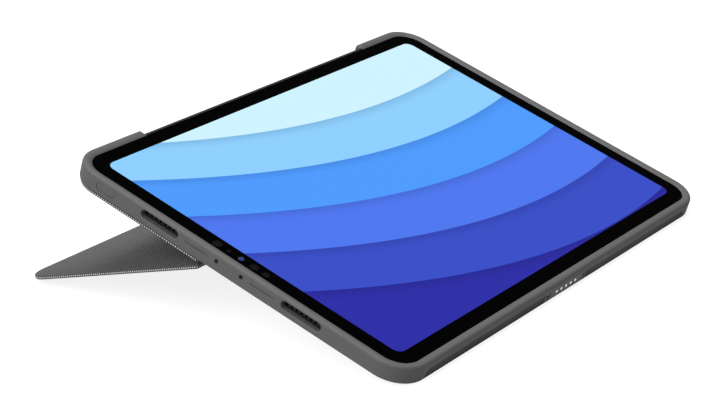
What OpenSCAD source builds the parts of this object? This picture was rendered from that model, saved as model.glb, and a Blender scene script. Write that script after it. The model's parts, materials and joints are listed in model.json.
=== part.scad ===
// Folio case for a slim tablet: a soft rim that clips round the tablet, a
// fabric-covered back whose lower part swings out as a kickstand, a row of
// contacts for a detachable keyboard, and the tablet that it holds.
// Local frame of the panel: X along the long side, Y towards the top edge,
// Z out of the screen, with Z = 0 on the glass. place() leans it on its stand.

/* [Tablet] */
// Long side of the tablet
tablet_w = 247.6; // [240:0.1:300]
// Short side of the tablet
tablet_h = 178.5; // [168:0.1:225]
// Thickness of the tablet
tablet_t = 5.9; // [5.4:0.1:8]
// Corner radius of the tablet
tablet_r = 12; // [9:0.5:16]
// Metal edge left round the glass
metal_edge = 1.2; // [0.8:0.1:1.6]
// Black border between the glass edge and the lit display
border_w = 7.75; // [6:0.05:12]
// Thickness of the cover glass
glass_t = 0.7; // [0.5:0.1:1]
// Floor of the tablet's enclosure
tablet_floor = 1; // [0.6:0.1:1.4]

/* [Rim] */
// Thickness of the rim's side wall
wall_t = 2.7; // [2.4:0.1:3.6]
// How far the lip reaches over the glass
lip_reach = 1.5; // [0.8:0.1:2.5]
// How far the lip stands above the glass
lip_rise = 1; // [0.6:0.1:1.6]
// Outer radius of the lip
lip_fillet = 1.5; // [0.8:0.1:2]
// Radius of the rim's lower edge
foot_fillet = 0.8; // [0.4:0.1:1]

/* [Back] */
// Soft lining against the tablet
lining_t = 0.3; // [0.2:0.05:0.6]
// Thickness of the hard back plate
plate_t = 1.15; // [1:0.05:2]
// Stiff board inside the upper fabric panel
board_t = 1.35; // [1.2:0.05:2]
// Woven fabric over the panels
fabric_t = 0.4; // [0.3:0.05:0.6]
// Step from the rim's side in to the panels' edge
panel_inset = 0.7; // [0.4:0.1:1.5]

/* [Kickstand] */
// Hinge axis above the middle of the tablet
hinge_y = 15.8; // [5:0.1:30]
// Hinge axis outside the outer fabric face
hinge_out = 0.5; // [0.5:0.1:1]
// Opening angle of the kickstand as it stands
open_angle = 146; // [100:1:160]
// Slot between the kickstand and the back plate when closed
stand_gap = 0.15; // [0.1:0.05:0.3]
// Half of the slot along the crease
crease_half = 0.6; // [0.5:0.1:1.2]
// Length of each hinge along the crease
hinge_len = 18; // [14:0.5:24]
// Hinge centre from the panels' side edge
hinge_from_edge = 21.8; // [16:0.1:50]
// Outer radius of a hinge knuckle
knuckle_r = 1.2; // [1.1:0.05:1.3]
// Radius of the hinge pin
pin_r = 0.6; // [0.5:0.05:0.7]
// Running clearance round the hinge pin
pin_play = 0.04; // [0.02:0.01:0.08]

/* [Openings] */
// Length of a speaker slot
slot_len = 21.8; // [16:0.1:26]
// Height of a speaker slot
slot_h = 4; // [2.8:0.1:4.4]
// Speaker slot centre from the middle of the short side
slot_y = 38.6; // [34:0.1:46]
// Width of the charging port cut-out
port_w = 12.5; // [10:0.1:14]
// Height of the charging port cut-out
port_h = 5.6; // [5.2:0.1:6]
// Length of the top rim's stub over the volume keys, from the tablet's side
stub_left = 43.8; // [41:0.1:60]
// Length of the other stub of the top rim
stub_right = 38.5; // [20:0.1:60]
// Side of the square camera opening
camera_open = 33.5; // [31:0.1:38]

/* [Buttons] */
// Length of a button cap
cap_len = 10.2; // [8:0.1:14]
// Height of a button cap
cap_h = 3.6; // [3:0.1:4]
// Slot round a button cap
cap_gap = 0.15; // [0.1:0.05:0.3]
// Travel of a button
cap_travel = 0.3; // [0.2:0.05:0.4]

/* [Keyboard dock] */
// Distance between two dock contacts
contact_pitch = 4; // [3:0.1:5]
// Radius of a dock contact
contact_r = 0.75; // [0.5:0.05:1]
// Alignment hole from the middle of the dock
align_x = 15.6; // [13:0.1:20]
// Radius of an alignment hole
align_r = 0.8; // [0.6:0.05:1.2]
// Depth of an alignment hole
align_depth = 1.5; // [1:0.1:1.6]
// Bare rim past the end of a dock strip
strip_from_end = 12.8; // [12:0.1:30]

/* [Hidden] */
$fn = 64;
MOST = 400;                                  // longer than anything here
SKIN = 0.01;                                 // over-cut so that no skin is left

// Levels below the glass
tablet_back = -tablet_t;
plate_top = tablet_back - lining_t;
plate_bottom = plate_top - plate_t;
board_bottom = plate_bottom - board_t;
fabric_face = board_bottom - fabric_t;
stand_top = plate_bottom - stand_gap;
lining_inner_t = 0.25;                       // soft lining inside the kickstand
core_top = stand_top - lining_inner_t;
hinge_z = fabric_face - hinge_out;

// Outline of the case and of its panels
case_w = tablet_w + 2 * wall_t;
case_h = tablet_h + 2 * wall_t;
case_r = tablet_r + wall_t;
panel_w = case_w - 2 * panel_inset;
panel_h = case_h - 2 * panel_inset;
panel_r = case_r - panel_inset;
glass_w = tablet_w - 2 * metal_edge;
glass_h = tablet_h - 2 * metal_edge;
glass_r = tablet_r - metal_edge;
display_r = 4;
display_t = 1.5;
display_tuck = 1;                            // panel's edge under the border
inside_gap = 0.2;
inside_top = -glass_t - display_t - inside_gap;
inside_bottom = tablet_back + tablet_floor;
gap_left = tablet_w / 2 - stub_left;
gap_right = tablet_w / 2 - stub_right;

// Lean of the panel: a line that touches the rim's lower front edge and the
// kickstand's free edge becomes the ground
stand_len = hinge_y + panel_h / 2;
foot = [-(case_h / 2 - foot_fillet), plate_bottom + foot_fillet];
function opened(y, z) = [
    hinge_y + (y - hinge_y) * cos(open_angle) - (z - hinge_z) * sin(open_angle),
    hinge_z + (y - hinge_y) * sin(open_angle) + (z - hinge_z) * cos(open_angle)];
heel = opened(hinge_y - stand_len, stand_top);
heel_outer = opened(hinge_y - stand_len, fabric_face);
span = norm(heel - foot);
lean = -atan2(heel[1] - foot[1], heel[0] - foot[0]) - asin(foot_fillet / span);
function leaned(p) = [p[0] * cos(lean) - p[1] * sin(lean), p[0] * sin(lean) + p[1] * cos(lean)];
lip_centre = [-(case_h / 2 - lip_fillet), lip_rise - lip_fillet];
front_y = leaned(lip_centre)[0] - lip_fillet;
rear_y = leaned(heel_outer)[0];
ground_z = leaned(heel)[1];

// Openings and their places
slot_top = -0.6;
slot_z = slot_top - slot_h / 2;
slot_flare = 0.5;                            // rounding of an opening's outer edge
sound_y = 6.7;                               // microphone holes from the middle
sound_z = -2.55;
sound_r = 1.1;                               // in the rim
microphone_r = 0.4;                          // in the tablet
groove_y = 17.9;                             // thin lines beside the microphones
groove_len = 12.5;
groove_h = 0.7;
groove_depth = 0.4;
hole_count = 8;                              // speaker holes in each slot
hole_pitch = 2.5;
hole_r = 0.7;
cap_z = -3.05;
key_len = cap_len - 2;                       // the tablet's own keys
key_h = 1.9;
key_proud = 0.45;
key_depth = 1;
key_play = 0.1;
key_rest = 0.05;                             // left behind a key at full press
power_from_top = 19.8;
power_y = tablet_h / 2 - power_from_top;
volume_from_end = [20.3, 32.8];
volume_x = [for (d = volume_from_end) d - tablet_w / 2];
socket = [9, 3.2];
socket_len = 6;
socket_wall = 0.2;
socket_floor = 0.6;
tongue = [6.6, 0.7];
tongue_sink = 1;                             // tongue behind the mouth
camera_gap = 1.5;                            // camera plate to its opening
camera_size = camera_open - 2 * camera_gap;
camera_r = 8;
camera_rise = 1.1;
camera_from_edge = 21.2;
camera_at = [camera_from_edge - tablet_w / 2, tablet_h / 2 - camera_from_edge];
LENSES = [[-6.4, 6.4, 5.4], [-6.4, -6.4, 4.6], [6.6, 6.6, 3], [7, -6.6, 2.4]];
lens_sink = 0.3;
SENSORS = [[13, 2.2], [6.7, 1], [-7.2, 2.1], [-13.6, 1.7]];
front_lens_r = 1.5;
sensor_t = 0.3;
sensor_off = 0.4;                            // nearer the edge than mid-border
surround_t = 1.3;
lip_edge = 0.05;                             // lip's inner edge above the glass
gap_corner = 2;                              // rounding of the rim's stub ends

// Keyboard dock
dock_z = -4.15;
housing_r = 2.5;
housing_depth = 1.8;
align_recess = 0.25;
align_rim = 0.2;
contact_depth = 1.2;
contact_proud = 0.1;
strip_top = -2.7;
strip_low = plate_bottom + foot_fillet;      // the rim's rounded foot runs on below
strip_t = 0.6;
strip_sink = 0.2;                            // strip face below the rim's side
strip_corner = 3.4;
strip_end = tablet_w / 2 - strip_from_end;
magnet_cover = 0.4;                          // rim left behind a magnet
magnet_t = wall_t - strip_sink - strip_t - magnet_cover;
magnet_h = 3.6;
magnet_len = 22;
magnet_from = 32;                            // first dock magnet from the middle
magnet_pitch = 30;
magnet_count = floor((strip_end - magnet_from - magnet_len / 2) / magnet_pitch) + 1;
lid_magnet_y = 57;
lid_magnet_len = 8;
carrier = [18, 7.6, 0.8];
carrier_from_edge = 9.3;
carrier_y = carrier_from_edge - tablet_h / 2;
spring_r = 0.6;
rear_pitch = 4;                              // contacts on the tablet's back
rear_r = 1.2;
rear_t = 0.4;
flex_t = 0.15;
flex_w = 10;
flex_play = 0.1;
catch_r = 4.5;
catch_t = 0.5;
stand_magnet_r = 4;
stand_magnet_t = 0.8;
catch_x = 60;
catch_from_edge = 8;
catch_y = catch_from_edge - panel_h / 2;

// Hinge
hinge_x = panel_w / 2 - hinge_from_edge;
leaf_t = 0.6;
leaf_top = board_bottom + leaf_t;
leaf_reach = 12;                             // leaf's far edge from the axis
notch = 1.6;                                 // panel cut back round the knuckles
notch_play = 0.3;
crease_play = 0.1;
leaf_play = 0.2;
leaf_len = hinge_len - 2 * leaf_play;
knuckle_mid = 5.8;                           // moving knuckle between two fixed ones
knuckle_gap = 0.1;
screw_r = 0.7;
screw_head_r = 1.3;
screw_x = 4.5;
screw_reach = 7;
screw_cover = 0.2;
screw_tip = plate_top - screw_cover;

// Inside of the tablet
board_w = 20;
board_end = 25.5;                            // board clear of the glass's long edges
bar_end = 60;                                // top board clear of its short edges
bar_h = 8;
bar_from_edge = 14.9;
bar_step = 0.6;
cell_gap = 5;                                // battery cell beside the board
cell_end = 23.6;                             // clear of the short, lower and upper edges
cell_low = 17.8;
cell_high = 29.8;
cell_r = 3;
speaker_w = 8.4;
speaker_gap = 0.4;
speaker_over = 1.5;                          // speaker box past each end of its slot
coil = [46, 3];
coil_from_edge = 2;

module place() {
    translate([0, -(front_y + rear_y) / 2, -ground_z]) rotate([lean, 0, 0]) children();
}

module on_stand() {
    translate([0, hinge_y, hinge_z]) rotate([open_angle, 0, 0])
        translate([0, -hinge_y, -hinge_z]) children();
}

// Flat shapes

module rounded(w, h, r) {
    square([w - 2 * r, h], center = true);
    square([w, h - 2 * r], center = true);
    for (sx = [-1, 1], sy = [-1, 1]) translate([sx * (w / 2 - r), sy * (h / 2 - r)]) circle(r);
}

module pill(length, height) {
    square([length - height, height], center = true);
    for (s = [-1, 1]) translate([s * (length - height) / 2, 0]) circle(height / 2);
}

module above(y) translate([-MOST / 2, y]) square([MOST, MOST]);

module below(y) translate([-MOST / 2, y - MOST]) square([MOST, MOST]);

// A flat shape raised between two levels
module slab(low, high) translate([0, 0, low]) linear_extrude(high - low) children();

// Laid on the short side at x = side * at, looking from outside, with local
// X along the side and local Y up; the shape is cut or raised by depth inwards
module on_short_side(side, at, depth) {
    translate([side * (at - depth), 0, 0]) rotate([90, 0, side * 90])
        linear_extrude(depth) children();
}

// The same on the long side at y = side * at
module on_long_side(side, at, depth) {
    translate([0, side * (at - depth), 0]) rotate([90, 0, side > 0 ? 180 : 0])
        linear_extrude(depth) children();
}

// The rim

module rim_profile() {
    fall = lip_rise - lip_edge;
    crown_r = (pow(lip_reach + wall_t - lip_fillet, 2) + pow(fall, 2)) / (2 * fall);
    difference() {
        union() {
            translate([0, plate_bottom + foot_fillet])
                square([wall_t, lip_rise - lip_fillet - plate_bottom - foot_fillet]);
            translate([0, plate_bottom]) square([wall_t - foot_fillet, foot_fillet]);
            translate([wall_t - foot_fillet, plate_bottom + foot_fillet]) circle(foot_fillet);
            translate([wall_t - lip_fillet, lip_rise - lip_fillet]) circle(lip_fillet);
            intersection() {
                translate([wall_t - lip_fillet, lip_rise - crown_r]) circle(crown_r, $fn = 256);
                translate([-lip_reach, 0])
                    square([lip_reach + wall_t - lip_fillet, lip_rise]);
            }
            translate([0, lip_rise - 2 * lip_fillet])
                square([wall_t - lip_fillet, 2 * lip_fillet - lip_rise]);
        }
        translate([-MOST, -MOST]) square([MOST, MOST]);
    }
}

// Carries a profile round the tablet's outline: X outwards, Y up
module round_outline(w, h, r) {
    for (turn = [0, 180]) rotate(turn) {
        translate([-(w / 2 - r), h / 2, 0]) rotate([90, 0, 90]) linear_extrude(w - 2 * r) children();
        rotate(90) translate([-(h / 2 - r), w / 2, 0]) rotate([90, 0, 90])
            linear_extrude(h - 2 * r) children();
        translate([w / 2 - r, h / 2 - r, 0]) rotate_extrude(angle = 90)
            translate([r, 0]) children();
        translate([-(w / 2 - r), h / 2 - r, 0]) rotate(90) rotate_extrude(angle = 90)
            translate([r, 0]) children();
    }
}

// A slot through a wall whose outer edge is rounded; Z points out of the wall
module flared_slot(length, height, depth, flare) {
    half = height / 2;
    reach = (length - height) / 2;
    translate([0, 0, -depth]) linear_extrude(depth + SKIN) pill(length, height);
    difference() {
        translate([0, 0, -flare]) linear_extrude(flare + SKIN)
            pill(length + 2 * flare, height + 2 * flare);
        for (s = [-1, 1]) {
            translate([-reach, s * (half + flare), -flare]) rotate([0, 90, 0])
                cylinder(r = flare, h = 2 * reach);
            translate([s * reach, 0, -flare]) rotate(s > 0 ? -90 : 90) rotate_extrude(angle = 180)
                translate([half + flare, 0]) circle(flare);
        }
    }
}

module speaker_slots() {
    for (side = [-1, 1], up = [-1, 1])
        translate([side * case_w / 2, up * slot_y, slot_z]) rotate([90, 0, side * 90])
            flared_slot(slot_len - 2 * slot_flare, slot_h, wall_t + SKIN, slot_flare);
}

module stylus_gap() {
    top = lip_rise + SKIN;
    translate([0, tablet_h / 2 + wall_t + SKIN, 0]) rotate([90, 0, 0])
        linear_extrude(wall_t + lip_reach + 2 * SKIN) difference() {
            union() {
                translate([-gap_left, plate_top]) square([gap_left + gap_right, top - plate_top]);
                translate([-gap_left - gap_corner, lip_rise - gap_corner])
                    square([gap_left + gap_right + 2 * gap_corner, gap_corner + SKIN]);
            }
            for (x = [-gap_left - gap_corner, gap_right + gap_corner])
                translate([x, lip_rise - gap_corner]) circle(gap_corner);
        }
}

module strip_shape(grow) {
    length = strip_end - align_x - housing_r;
    height = strip_top - strip_low;
    for (side = [-1, 1]) translate([side * (strip_end - length / 2), strip_low + height / 2])
        mirror([side < 0 ? 1 : 0, 0]) difference() {
            translate([0, -grow]) square([length + 2 * grow, height + 2 * grow], center = true);
            translate([length / 2 - strip_corner + grow, height / 2 - strip_corner])
                difference() {
                    square(strip_corner + 2 * grow);
                    circle(strip_corner);
                }
        }
}

module housing_shape() translate([0, dock_z]) pill(2 * (align_x + housing_r), 2 * housing_r);

module at_dock_magnets() {
    for (side = [-1, 1], i = [0 : magnet_count - 1])
        translate([side * (magnet_from + i * magnet_pitch), (strip_top + strip_low) / 2])
            square([magnet_len, magnet_h], center = true);
}

module at_lid_magnets() {
    for (s = [-1, 1]) translate([s * lid_magnet_y, dock_z])
        square([lid_magnet_len, magnet_h], center = true);
}

module cap_shape(grow) pill(cap_len + 2 * grow, cap_h + 2 * grow);

module key_shape(grow) pill(key_len + 2 * grow, key_h + 2 * grow);

module flex_shape(grow) {
    y_in = -(tablet_h / 2 + wall_t - housing_depth);
    low = plate_top - carrier[2];
    translate([0, y_in - grow, low]) rotate([90, 0, 90]) linear_extrude(flex_w + 2 * grow, center = true)
        union() {
            square([carrier_y - carrier[1] / 2 - y_in + grow, flex_t + grow]);
            square([flex_t + grow, dock_z - low]);
        }
}

module bumper_frame() color("dimgray") place() difference() {
    round_outline(tablet_w, tablet_h, tablet_r) rim_profile();
    speaker_slots();
    stylus_gap();
    for (y = [-sound_y, sound_y]) on_short_side(-1, case_w / 2 + SKIN, wall_t + 2 * SKIN)
        translate([y, sound_z]) circle(sound_r);
    for (y = [-groove_y, groove_y]) on_short_side(-1, case_w / 2 + SKIN, groove_depth)
        translate([y, sound_z]) pill(groove_len, groove_h);
    on_short_side(1, case_w / 2 + SKIN, wall_t + 2 * SKIN)
        translate([0, -tablet_t / 2]) pill(port_w, port_h);
    on_short_side(-1, case_w / 2 + SKIN, wall_t + 2 * SKIN)
        translate([-power_y, cap_z]) cap_shape(cap_gap);
    for (x = volume_x) on_long_side(1, case_h / 2 + SKIN, wall_t + 2 * SKIN)
        translate([-x, cap_z]) cap_shape(cap_gap);
    on_long_side(-1, case_h / 2 + SKIN, strip_t + strip_sink + SKIN) strip_shape(SKIN);
    on_long_side(-1, case_h / 2 + SKIN, housing_depth + SKIN) housing_shape();
    on_long_side(-1, case_h / 2 - strip_sink - strip_t, magnet_t) at_dock_magnets();
    for (side = [-1, 1]) on_short_side(side, tablet_w / 2 + magnet_t, magnet_t) at_lid_magnets();
    flex_shape(flex_play);
}

module dock_strips() color("#3a3a3c") place()
    on_long_side(-1, case_h / 2 - strip_sink, strip_t) strip_shape(0);

module contact_housing() color("#5a5a5c") place() difference() {
    on_long_side(-1, case_h / 2, housing_depth) housing_shape();
    for (s = [-1, 1]) {
        on_long_side(-1, case_h / 2 + SKIN, align_recess + SKIN)
            translate([s * align_x, dock_z]) circle(housing_r - align_rim);
        on_long_side(-1, case_h / 2 + SKIN, align_depth + SKIN)
            translate([s * align_x, dock_z]) circle(align_r);
    }
    on_long_side(-1, case_h / 2 + SKIN, contact_depth + SKIN) contact_row();
}

module contact_row() {
    for (i = [-2 : 2]) translate([i * contact_pitch, dock_z]) circle(contact_r);
}

module dock_contacts() color("gold") place()
    on_long_side(-1, case_h / 2 + contact_proud, contact_depth + contact_proud) contact_row();

module dock_magnets() color("silver") place()
    on_long_side(-1, case_h / 2 - strip_sink - strip_t, magnet_t) at_dock_magnets();

module lid_magnets() color("silver") place()
    for (side = [-1, 1]) on_short_side(side, tablet_w / 2 + magnet_t, magnet_t) at_lid_magnets();

module contact_flex() color("chocolate") place() flex_shape(0);

module carrier_shape() translate([0, carrier_y]) square([carrier[0], carrier[1]], center = true);

module rear_contact_row() {
    for (i = [-1 : 1]) translate([i * rear_pitch, carrier_y]) children();
}

module pin_carrier() color("#202022") place() difference() {
    slab(plate_top - carrier[2], plate_top) carrier_shape();
    slab(plate_top - carrier[2] - SKIN, plate_top + SKIN) rear_contact_row() circle(spring_r);
}

module spring_pins() color("gold") place()
    slab(plate_top - carrier[2], tablet_back) rear_contact_row() circle(spring_r);

// The back

module camera_shape(grow) translate(camera_at)
    rounded(camera_open + 2 * grow, camera_open + 2 * grow, camera_r + grow);

module inner_lining() color("#4a4a4e") place() slab(plate_top, tablet_back) difference() {
    rounded(tablet_w, tablet_h, tablet_r);
    camera_shape(0);
    carrier_shape();
}

module catch_row(r) for (s = [-1, 1]) translate([s * catch_x, catch_y]) circle(r);

module back_plate() color("#6b6b6e") place() difference() {
    slab(plate_bottom, plate_top) difference() {
        rounded(tablet_w, tablet_h, tablet_r);
        camera_shape(surround_t);
    }
    slab(plate_top - carrier[2], plate_top + SKIN) carrier_shape();
    flex_shape(flex_play);
    slab(plate_bottom - SKIN, plate_bottom + catch_t) catch_row(catch_r);
    base_screw_row() cylinder(r = screw_r, h = screw_tip - board_bottom);
}

module catch_discs() color("silver") place()
    slab(plate_bottom, plate_bottom + catch_t) catch_row(catch_r);

module hinge_notch(grow) for (s = [-1, 1]) translate([s * hinge_x, hinge_y])
    square([hinge_len + 2 * grow, 2 * notch], center = true);

module upper_shape(shrink) difference() {
    intersection() {
        rounded(panel_w - 2 * shrink, panel_h - 2 * shrink, panel_r - shrink);
        above(hinge_y + crease_half + shrink);
    }
    camera_shape(surround_t);
    hinge_notch(notch_play);
}

module upper_board() color("#77777a") place() difference() {
    slab(board_bottom, plate_bottom) upper_shape(fabric_t);
    for (s = [-1, 1]) slab(board_bottom - SKIN, leaf_top)
        translate([s * hinge_x - hinge_len / 2, hinge_y]) square([hinge_len, leaf_reach]);
    base_screw_row() cylinder(r = screw_r, h = screw_tip - board_bottom);
}

module upper_fabric() color("gray") place() difference() {
    slab(fabric_face, plate_bottom) upper_shape(0);
    slab(board_bottom, plate_bottom + SKIN) upper_shape(fabric_t);
}

module camera_surround() color("dimgray") place() slab(fabric_face, plate_top) difference() {
    camera_shape(surround_t);
    camera_shape(0);
}

module crease_fabric() color("gray") place() slab(fabric_face, board_bottom) difference() {
    translate([0, hinge_y]) square([panel_w, 2 * (crease_half - crease_play)], center = true);
    hinge_notch(notch_play);
}

// The hinges

// One leaf seen from the axis: its plate runs towards +Y from the notch, and
// a root joins it to each knuckle; spans lists the knuckles' ends along X
module leaf(spans, hole_r) {
    difference() {
        union() {
            translate([-leaf_len / 2, notch, board_bottom])
                cube([leaf_len, leaf_reach - notch, leaf_t]);
            for (k = spans) {
                translate([k[0], 0, hinge_z]) rotate([0, 90, 0]) cylinder(r = knuckle_r, h = k[1] - k[0]);
                translate([k[0], 0, hinge_z]) cube([k[1] - k[0], knuckle_r, leaf_top - hinge_z]);
                translate([k[0], knuckle_r / 2, board_bottom])
                    cube([k[1] - k[0], notch, leaf_t]);
            }
        }
        translate([-hinge_len, 0, hinge_z]) rotate([0, 90, 0]) cylinder(r = hole_r, h = 2 * hinge_len);
        for (s = [-1, 1]) translate([s * screw_x, screw_reach, board_bottom])
            cylinder(r1 = screw_head_r, r2 = screw_r, h = leaf_t);
    }
}

module hinge_base(side) color("lightsteelblue") place() translate([side * hinge_x, hinge_y, 0])
    leaf([[-leaf_len / 2, -knuckle_mid / 2 - knuckle_gap], [knuckle_mid / 2 + knuckle_gap, leaf_len / 2]],
        pin_r);

module hinge_leaf(side) color("lightsteelblue") place() on_stand()
    translate([side * hinge_x, hinge_y, 0]) mirror([0, 1, 0])
        leaf([[-knuckle_mid / 2, knuckle_mid / 2]], pin_r + pin_play);

module hinge_pin(side) color("silver") place()
    translate([side * hinge_x - leaf_len / 2, hinge_y, hinge_z]) rotate([0, 90, 0])
        cylinder(r = pin_r, h = leaf_len);

module base_screw_row() for (side = [-1, 1], s = [-1, 1])
    translate([side * hinge_x + s * screw_x, hinge_y + screw_reach, board_bottom]) children();

module leaf_rivet_row() for (side = [-1, 1], s = [-1, 1])
    translate([side * hinge_x + s * screw_x, hinge_y - screw_reach, board_bottom]) children();

module fastener(length) {
    cylinder(r1 = screw_head_r, r2 = screw_r, h = leaf_t);
    cylinder(r = screw_r, h = length);
}

module base_screws() color("silver") place() base_screw_row() fastener(screw_tip - board_bottom);

module leaf_rivets() color("silver") place() on_stand()
    leaf_rivet_row() fastener(core_top - board_bottom);

// The kickstand, drawn closed and swung open by on_stand()

module stand_shape(shrink) difference() {
    intersection() {
        rounded(panel_w - 2 * shrink, panel_h - 2 * shrink, panel_r - shrink);
        below(hinge_y - crease_half - shrink);
    }
    hinge_notch(notch_play);
}

module stand_magnet_row() for (s = [-1, 1]) translate([s * catch_x, catch_y]) circle(stand_magnet_r);

module kickstand_core() color("#6b6b6e") place() on_stand() difference() {
    slab(board_bottom, core_top) stand_shape(fabric_t);
    slab(core_top - stand_magnet_t, core_top + SKIN) stand_magnet_row();
    for (s = [-1, 1]) slab(board_bottom - SKIN, leaf_top)
        translate([s * hinge_x - hinge_len / 2, hinge_y - leaf_reach]) square([hinge_len, leaf_reach]);
    leaf_rivet_row() cylinder(r = screw_r, h = core_top - board_bottom + SKIN);
}

module kickstand_fabric() color("gray") place() on_stand() difference() {
    slab(fabric_face, stand_top) stand_shape(0);
    slab(board_bottom, stand_top + SKIN) stand_shape(fabric_t);
}

module kickstand_lining() color("#55555a") place() on_stand()
    slab(core_top, stand_top) stand_shape(fabric_t);

module kickstand_magnets() color("silver") place() on_stand()
    slab(core_top - stand_magnet_t, core_top) stand_magnet_row();

// The buttons: soft caps in the rim and the tablet's own keys behind them

module power_cap() color("dimgray") place()
    on_short_side(-1, case_w / 2, wall_t - key_proud) translate([-power_y, cap_z]) cap_shape(0);

module power_key() color("silver") place()
    on_short_side(-1, tablet_w / 2 + key_proud, key_proud + key_depth - cap_travel - key_rest)
        translate([-power_y, cap_z]) key_shape(0);

module volume_cap(i) color("dimgray") place()
    on_long_side(1, case_h / 2, wall_t - key_proud) translate([-volume_x[i], cap_z]) cap_shape(0);

module volume_key(i) color("silver") place()
    on_long_side(1, tablet_h / 2 + key_proud, key_proud + key_depth - cap_travel - key_rest)
        translate([-volume_x[i], cap_z]) key_shape(0);

// The tablet

module speaker_hole_rows() for (up = [-1, 1], i = [0 : hole_count - 1])
    translate([up * slot_y + (i - (hole_count - 1) / 2) * hole_pitch, -tablet_t / 2]) circle(hole_r);

module socket_shape(grow) translate([0, -tablet_t / 2]) pill(socket[0] + 2 * grow, socket[1] + 2 * grow);

module tablet_shell() color("silver") place() difference() {
    slab(tablet_back, 0) rounded(tablet_w, tablet_h, tablet_r);
    slab(tablet_back + tablet_floor, SKIN) rounded(glass_w, glass_h, glass_r);
    for (side = [-1, 1]) on_short_side(side, tablet_w / 2 + SKIN, metal_edge + 2 * SKIN)
        speaker_hole_rows();
    for (y = [-sound_y, sound_y]) on_short_side(-1, tablet_w / 2 + SKIN, metal_edge + 2 * SKIN)
        translate([y, sound_z]) circle(microphone_r);
    on_short_side(1, tablet_w / 2 + SKIN, metal_edge + 2 * SKIN) socket_shape(0);
    on_short_side(-1, tablet_w / 2 + SKIN, key_depth + SKIN)
        translate([-power_y, cap_z]) key_shape(key_play);
    for (x = volume_x) on_long_side(1, tablet_h / 2 + SKIN, key_depth + SKIN)
        translate([-x, cap_z]) key_shape(key_play);
    slab(tablet_back - SKIN, tablet_back + rear_t) rear_contact_row() circle(rear_r);
}

module sensor_at(y) translate([border_w / 2 - sensor_off - glass_w / 2, y]) children();

module sensor_shapes() for (sensor = SENSORS) sensor_at(sensor[0]) circle(sensor[1]);

module cover_glass() color("#0a0a0c") place() difference() {
    slab(-glass_t, 0) rounded(glass_w, glass_h, glass_r);
    slab(-sensor_t, SKIN) {
        sensor_shapes();
        sensor_at(0) circle(front_lens_r);
    }
}

module front_sensors() color("#18181a") place() slab(-sensor_t, 0) sensor_shapes();

module front_camera() color("royalblue") place() slab(-sensor_t, 0)
    sensor_at(0) circle(front_lens_r);

module display_panel() color("dodgerblue") place() slab(-glass_t - display_t, -glass_t)
    rounded(glass_w - 2 * (border_w - display_tuck), glass_h - 2 * (border_w - display_tuck),
        display_r + display_tuck);

// A rounded plate between two corners
module between(low, high, r) translate((low + high) / 2)
    rounded(high[0] - low[0], high[1] - low[1], r);

module battery_cells() color("#2b2b2e") place() slab(inside_bottom, inside_top)
    for (s = [0, 1]) mirror([s, 0]) between([board_w / 2 + cell_gap, cell_low - glass_h / 2],
        [glass_w / 2 - cell_end, glass_h / 2 - cell_high], cell_r);

module logic_board() color("darkgreen") place() slab(inside_bottom, inside_top - bar_step) {
    square([board_w, glass_h - 2 * board_end], center = true);
    translate([0, glass_h / 2 - bar_from_edge]) square([glass_w - 2 * bar_end, bar_h], center = true);
}

module speaker_boxes() color("#303033") place() slab(inside_bottom, inside_top)
    for (sx = [-1, 1], sy = [-1, 1])
        translate([sx * (glass_w / 2 - speaker_gap - speaker_w / 2), sy * slot_y])
            rounded(speaker_w, slot_len + 2 * speaker_over, 2);

module port_socket() color("silver") place() {
    side = tablet_w / 2 - metal_edge;
    on_short_side(1, side, socket_len) difference() {
        socket_shape(socket_wall);
        socket_shape(-socket_wall);
    }
    on_short_side(1, side - socket_len + socket_floor, socket_floor) socket_shape(-socket_wall);
    on_short_side(1, side - tongue_sink, socket_len - tongue_sink)
        translate([0, -tablet_t / 2]) square(tongue, center = true);
}

module stylus_coil() color("peru") place() slab(inside_bottom, inside_top)
    translate([0, glass_h / 2 - coil_from_edge]) square(coil, center = true);

module rear_contacts() color("gold") place()
    slab(tablet_back, tablet_back + rear_t) rear_contact_row() circle(rear_r);

module lens_shapes() translate(camera_at) for (lens = LENSES)
    translate([lens[0], lens[1]]) circle(lens[2]);

module camera_bump() color("#2a2a2c") place() difference() {
    slab(tablet_back - camera_rise, tablet_back) translate(camera_at)
        rounded(camera_size, camera_size, camera_r - camera_gap);
    slab(tablet_back - camera_rise - SKIN, tablet_back - lens_sink) lens_shapes();
}

module camera_lenses() color("midnightblue") place()
    slab(tablet_back - camera_rise, tablet_back - lens_sink) lens_shapes();

bumper_frame();
dock_strips();
contact_housing();
dock_contacts();
dock_magnets();
lid_magnets();
contact_flex();
pin_carrier();
spring_pins();
inner_lining();
back_plate();
catch_discs();
upper_board();
upper_fabric();
camera_surround();
crease_fabric();
hinge_base(-1);  // hinge_base_left
hinge_base(1);  // hinge_base_right
hinge_pin(-1);  // hinge_pin_left
hinge_pin(1);  // hinge_pin_right
base_screws();
kickstand_core();
kickstand_fabric();
kickstand_lining();
kickstand_magnets();
hinge_leaf(-1);  // hinge_leaf_left
hinge_leaf(1);  // hinge_leaf_right
leaf_rivets();
power_cap();
volume_cap(0);  // volume_up_cap
volume_cap(1);  // volume_down_cap
power_key();
volume_key(0);  // volume_up_key
volume_key(1);  // volume_down_key
tablet_shell();
cover_glass();
display_panel();
battery_cells();
logic_board();
speaker_boxes();
port_socket();
stylus_coil();
rear_contacts();
camera_bump();
camera_lenses();
front_camera();
front_sensors();
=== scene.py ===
import json
import logging
from dataclasses import dataclass, field
from enum import Enum

import bmesh
import bpy
import numpy as np
from mathutils import Matrix, Vector
from mathutils.geometry import delaunay_2d_cdt


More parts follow.
